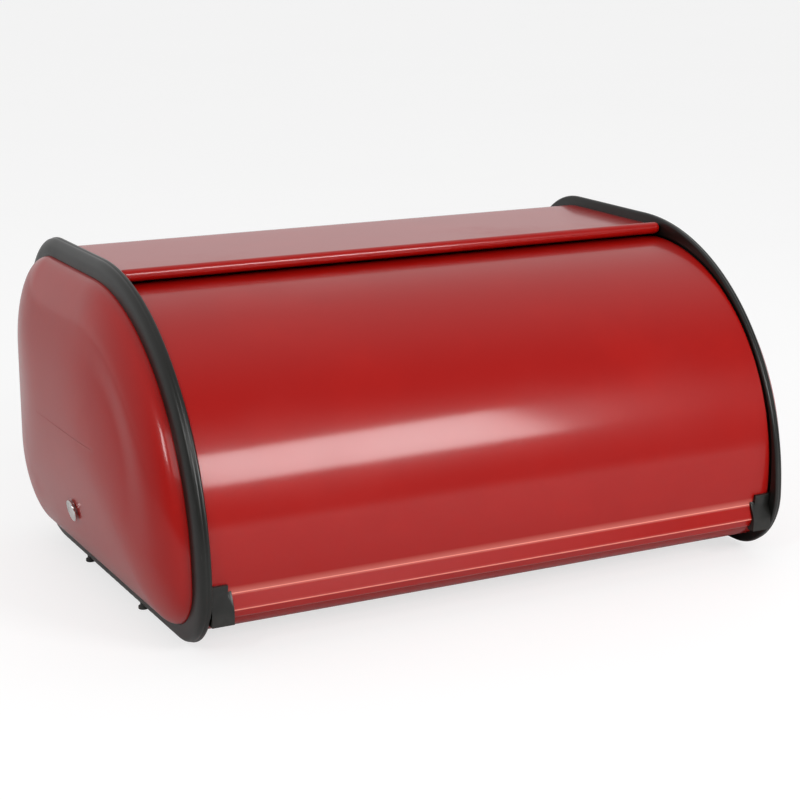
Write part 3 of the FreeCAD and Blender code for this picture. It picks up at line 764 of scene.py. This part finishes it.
def dome_height(inwards):
    """Height of the dome over the seam at a distance in from its edge: an ellipse up to DOME_LAST
    degrees, then a parabola that ends level on the middle line. It is scaled to the cap's height."""
    last = math.radians(DOME_LAST)
    rise = (CAP_X - SEAM_X) / math.sin(last)
    turned = DOME_RUN * (1 - math.cos(last))
    slope = rise * math.cos(last) / (DOME_RUN * math.sin(last))
    crown = CAP_X - SEAM_X + slope * (CAP_MIDDLE - turned) / 2
    ellipse = rise * np.sqrt(np.clip(1 - (1 - inwards / DOME_RUN) ** 2, 0, 1))
    over = np.clip(inwards - turned, 0, CAP_MIDDLE - turned)
    parabola = CAP_X - SEAM_X + slope * (over - over ** 2 / (2 * (CAP_MIDDLE - turned)))
    return np.where(inwards < turned, ellipse, parabola) * (CAP_X - SEAM_X) / crown


def pressed_dome():
    """Height map of the cap over (y, z). The distance in from the edge gives the dome's height, and a
    Gaussian blur rounds the ridges that it leaves on the diagonals."""
    y = np.arange(FRONT_Y, REAR_Y + DOME_GRID, DOME_GRID)
    z = np.arange(BASE_Z, TOP_Z + DOME_GRID, DOME_GRID)
    edge = outline(SEAM_INSET + CAP_FIT)
    gap = np.hypot(y[:, None, None] - edge[:, 0], z[None, :, None] - edge[:, 1])
    heights = dome_height(gap.min(axis=2))

    def kernel(axis):
        weights = np.exp(-((axis[:, None] - axis[None, :]) / DOME_BLUR) ** 2 / 2)
        return weights / weights.sum(axis=1, keepdims=True)

    return y, z, kernel(y) @ heights @ kernel(z).T


def sample_map(y, z, heights, at_y, at_z):
    """Bilinear value of a height map at points."""
    u = np.clip((at_y - y[0]) / (y[1] - y[0]), 0, len(y) - 1.001)
    v = np.clip((at_z - z[0]) / (z[1] - z[0]), 0, len(z) - 1.001)
    i, j = u.astype(int), v.astype(int)
    s, t = u - i, v - j
    return ((1 - s) * (1 - t) * heights[i, j] + s * (1 - t) * heights[i + 1, j]
            + (1 - s) * t * heights[i, j + 1] + s * t * heights[i + 1, j + 1])


def end_cap(side):
    """One pressed cap: outer dome, an inner dome one sheet behind it, and the flange in the frame."""
    turns = np.radians(np.linspace(0, 90, 61))
    shrinks = CAP_MIDDLE * (1 - np.cos(turns)) * DOME_REACH
    start = SEAM_INSET + CAP_FIT
    rings = np.stack([outline(start, shrink) for shrink in shrinks])
    exact = dome_height(shrinks)[:, None]
    soft = sample_map(*pressed_dome(), rings[..., 0], rings[..., 1])
    blend = np.clip((shrinks - DOME_EXACT) / DOME_BLEND, 0, 1)[:, None]
    blend = blend * blend * (3 - 2 * blend)
    across = SEAM_X + exact * (1 - blend) + soft * blend
    outer = np.concatenate([across[..., None], rings], axis=-1)
    foot_x = WALL_X + WEB + CAP_SEAT
    flange = [(foot_x, 0.0), (foot_x, SHEET), (SEAM_X, SHEET)]
    back = [np.column_stack([np.full(rings.shape[1], x), outline(start + inset)]) for x, inset in flange]
    inner = outer[1:].copy()
    inner[..., 0] -= SHEET
    inner[:-1, :, 1:] = np.stack([outline(start + SHEET, shrink) for shrink in shrinks[1:-1]])
    grid = np.concatenate([outer[::-1], np.stack(back), inner])
    grid[..., 0] *= side
    name = ("left" if side < 0 else "right") + "_end_cap"
    faces = grid_faces(*grid.shape[:2], wrap_columns=True)
    obj = piece(name + "_dome", grid, faces, "red_enamel", "box", [name])
    close_ends(obj)
    outward(obj)
    sharp_edges(obj, 50)


def close_ends(obj):
    """Fills the openings that a grid's first and last rings leave, on a cap or a rounded block."""
    work = bmesh.new()
    work.from_mesh(obj.data)
    bmesh.ops.remove_doubles(work, verts=work.verts, dist=1e-6)
    open_edges = [e for e in work.edges if e.is_boundary]
    bmesh.ops.holes_fill(work, edges=open_edges, sides=0)
    work.to_mesh(obj.data)
    work.free()


# Small fittings.

def eased(node, slot, body, radius, segments=3):
    """A CAD fitting with its sharp edges rounded: its triangles are merged into flat faces, and each
    edge over 35 degrees gets a round of the given radius."""
    mesh = frame["nodes"][node].data.copy()
    work = bmesh.new()
    work.from_mesh(mesh)
    bmesh.ops.remove_doubles(work, verts=work.verts, dist=2e-6)
    bmesh.ops.dissolve_limit(work, angle_limit=math.radians(1.0), verts=work.verts, edges=work.edges)
    bmesh.ops.recalc_face_normals(work, faces=work.faces)
    work.to_mesh(mesh)
    work.free()
    mesh.name = node + "_eased"
    mesh.shade_smooth()
    mesh.materials.clear()
    mesh.materials.append(MATERIALS[slot])
    obj = bpy.data.objects.new(node + "_eased", mesh)
    bpy.context.scene.collection.objects.link(obj)
    rounding = obj.modifiers.new("rounding", "BEVEL")
    rounding.width = radius
    rounding.segments = segments
    rounding.limit_method = "ANGLE"
    rounding.angle_limit = math.radians(35)
    rounding.harden_normals = True
    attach(obj, body)
    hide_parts(node)
    return obj


def small_fittings():
    """Every clip, slider, foot, rivet, nut and screw, with edges as round as its making leaves them."""
    slots = {s["node"]: s["material_slot"] for s in frame["record"]["subparts"]}
    door = ("handle_clip", "tail_slider", "handle_clip_rivet", "tail_slider_rivet")
    rounds = {"handle_clip": 0.7, "tail_slider": 0.4, "handle_clip_rivet": 0.45,
              "tail_slider_rivet": 0.45, "floor_screws": 0.7, "rear_screws": 0.7, "cap_screws": 0.7,
              "front_foot": 0.5, "rear_foot": 0.5}
    for kind, radius in rounds.items():
        for hand in ("left_", "right_"):
            eased(hand + kind, slots[hand + kind], "door" if kind in door else "box", radius * MM)
    eased("badge", slots["badge"], "box", 0.35 * MM)
    eased("badge_push_nuts", slots["badge_push_nuts"], "box", 0.15 * MM, 2)


# Floor, light and camera.

def stage_floor():
    bpy.ops.mesh.primitive_plane_add(size=30, location=(0, 0, 0))
    floor = bpy.context.active_object
    floor.name = "floor"
    finish = Finish("pale_floor", Roughness=0.6)
    grey = finish.group(HANDLING, Smear_Scale=2.0, Specks=0.0)
    finish.feed("Base Color", finish.mix(grey, (0.82, 0.82, 0.82), (0.80, 0.80, 0.80)))
    glow = finish.nodes.new("ShaderNodeEmission")
    seen = finish.nodes.new("ShaderNodeMixShader")
    direct = finish.nodes.new("ShaderNodeLightPath").outputs["Is Camera Ray"]
    finish.links.new(math_node(finish.nodes, finish.links, "MULTIPLY", direct, 0.6), seen.inputs[0])
    finish.links.new(finish.shader.outputs[0], seen.inputs[1])
    finish.links.new(glow.outputs[0], seen.inputs[2])
    finish.links.new(seen.outputs[0], finish.nodes["Material Output"].inputs["Surface"])
    glow.inputs["Strength"].default_value = 1.15
    floor.data.materials.append(finish.material)


def area_light(name, place, target, size, power, colour=(1, 1, 1)):
    """Rectangular light at a place, turned towards a target."""
    data = bpy.data.lights.new(name, "AREA")
    data.shape = "RECTANGLE"
    data.size, data.size_y = size
    data.energy = power
    data.color = colour
    light = bpy.data.objects.new(name, data)
    light.location = place
    light.rotation_euler = (Vector(target) - Vector(place)).to_track_quat("-Z", "Y").to_euler()
    bpy.context.scene.collection.objects.link(light)


def studio_light():
    """White room behind the object, dim towards the front. Seen by the camera it is plain white."""
    world = bpy.data.worlds.new("studio")
    world.use_nodes = True
    nodes, links = world.node_tree.nodes, world.node_tree.links
    way = nodes.new("ShaderNodeSeparateXYZ")
    links.new(nodes.new("ShaderNodeTexCoord").outputs["Generated"], way.inputs[0])
    lift = math_node(nodes, links, "MULTIPLY", way.outputs["Z"], 0.35)
    tilt = math_node(nodes, links, "ADD", way.outputs["Y"], lift)
    rear = range_node(nodes, links, tilt, -0.35, 0.55, 0.22, 0.8)
    background = nodes["Background"]
    links.new(rear, background.inputs["Strength"])
    background.inputs["Color"].default_value = (1, 1, 1, 1)
    seen = nodes.new("ShaderNodeBackground")
    seen.inputs["Strength"].default_value = 1.0
    mix = nodes.new("ShaderNodeMixShader")
    links.new(nodes.new("ShaderNodeLightPath").outputs["Is Camera Ray"], mix.inputs[0])
    links.new(background.outputs[0], mix.inputs[1])
    links.new(seen.outputs[0], mix.inputs[2])
    seen.inputs["Color"].default_value = (1, 1, 1, 1)
    links.new(mix.outputs[0], nodes["World Output"].inputs["Surface"])
    bpy.context.scene.world = world
    area_light("key_softbox", (0.55, -1.35, 0.76), (0, 0, 0.12), (0.5, 0.42), 12)
    area_light("side_softbox", (-1.12, -0.88, 1.02), (-0.2, -0.11, 0.11), (0.22, 0.4), 5)
    area_light("fill", (-0.3, -2.6, 2.2), (0, 0, 0.1), (2.4, 1.2), 22)


def camera():
    data = bpy.data.cameras.new("camera")
    data.sensor_width = 36
    data.lens = 87.7
    eye = bpy.data.objects.new("camera", data)
    eye.location = (-0.5486, -1.0596, 0.3986)
    yaw, dip = 0.479, 0.252
    ahead = Vector((math.sin(yaw) * math.cos(dip), math.cos(yaw) * math.cos(dip), -math.sin(dip)))
    eye.rotation_euler = ahead.to_track_quat("-Z", "Y").to_euler()
    bpy.context.scene.collection.objects.link(eye)
    bpy.context.scene.camera = eye
    bpy.context.scene.view_settings.view_transform = "Standard"


body_skin()
door_skin()
for side in (-1, 1):
    end_frame(side)
    end_cap(side)
small_fittings()
stage_floor()
studio_light()
camera()
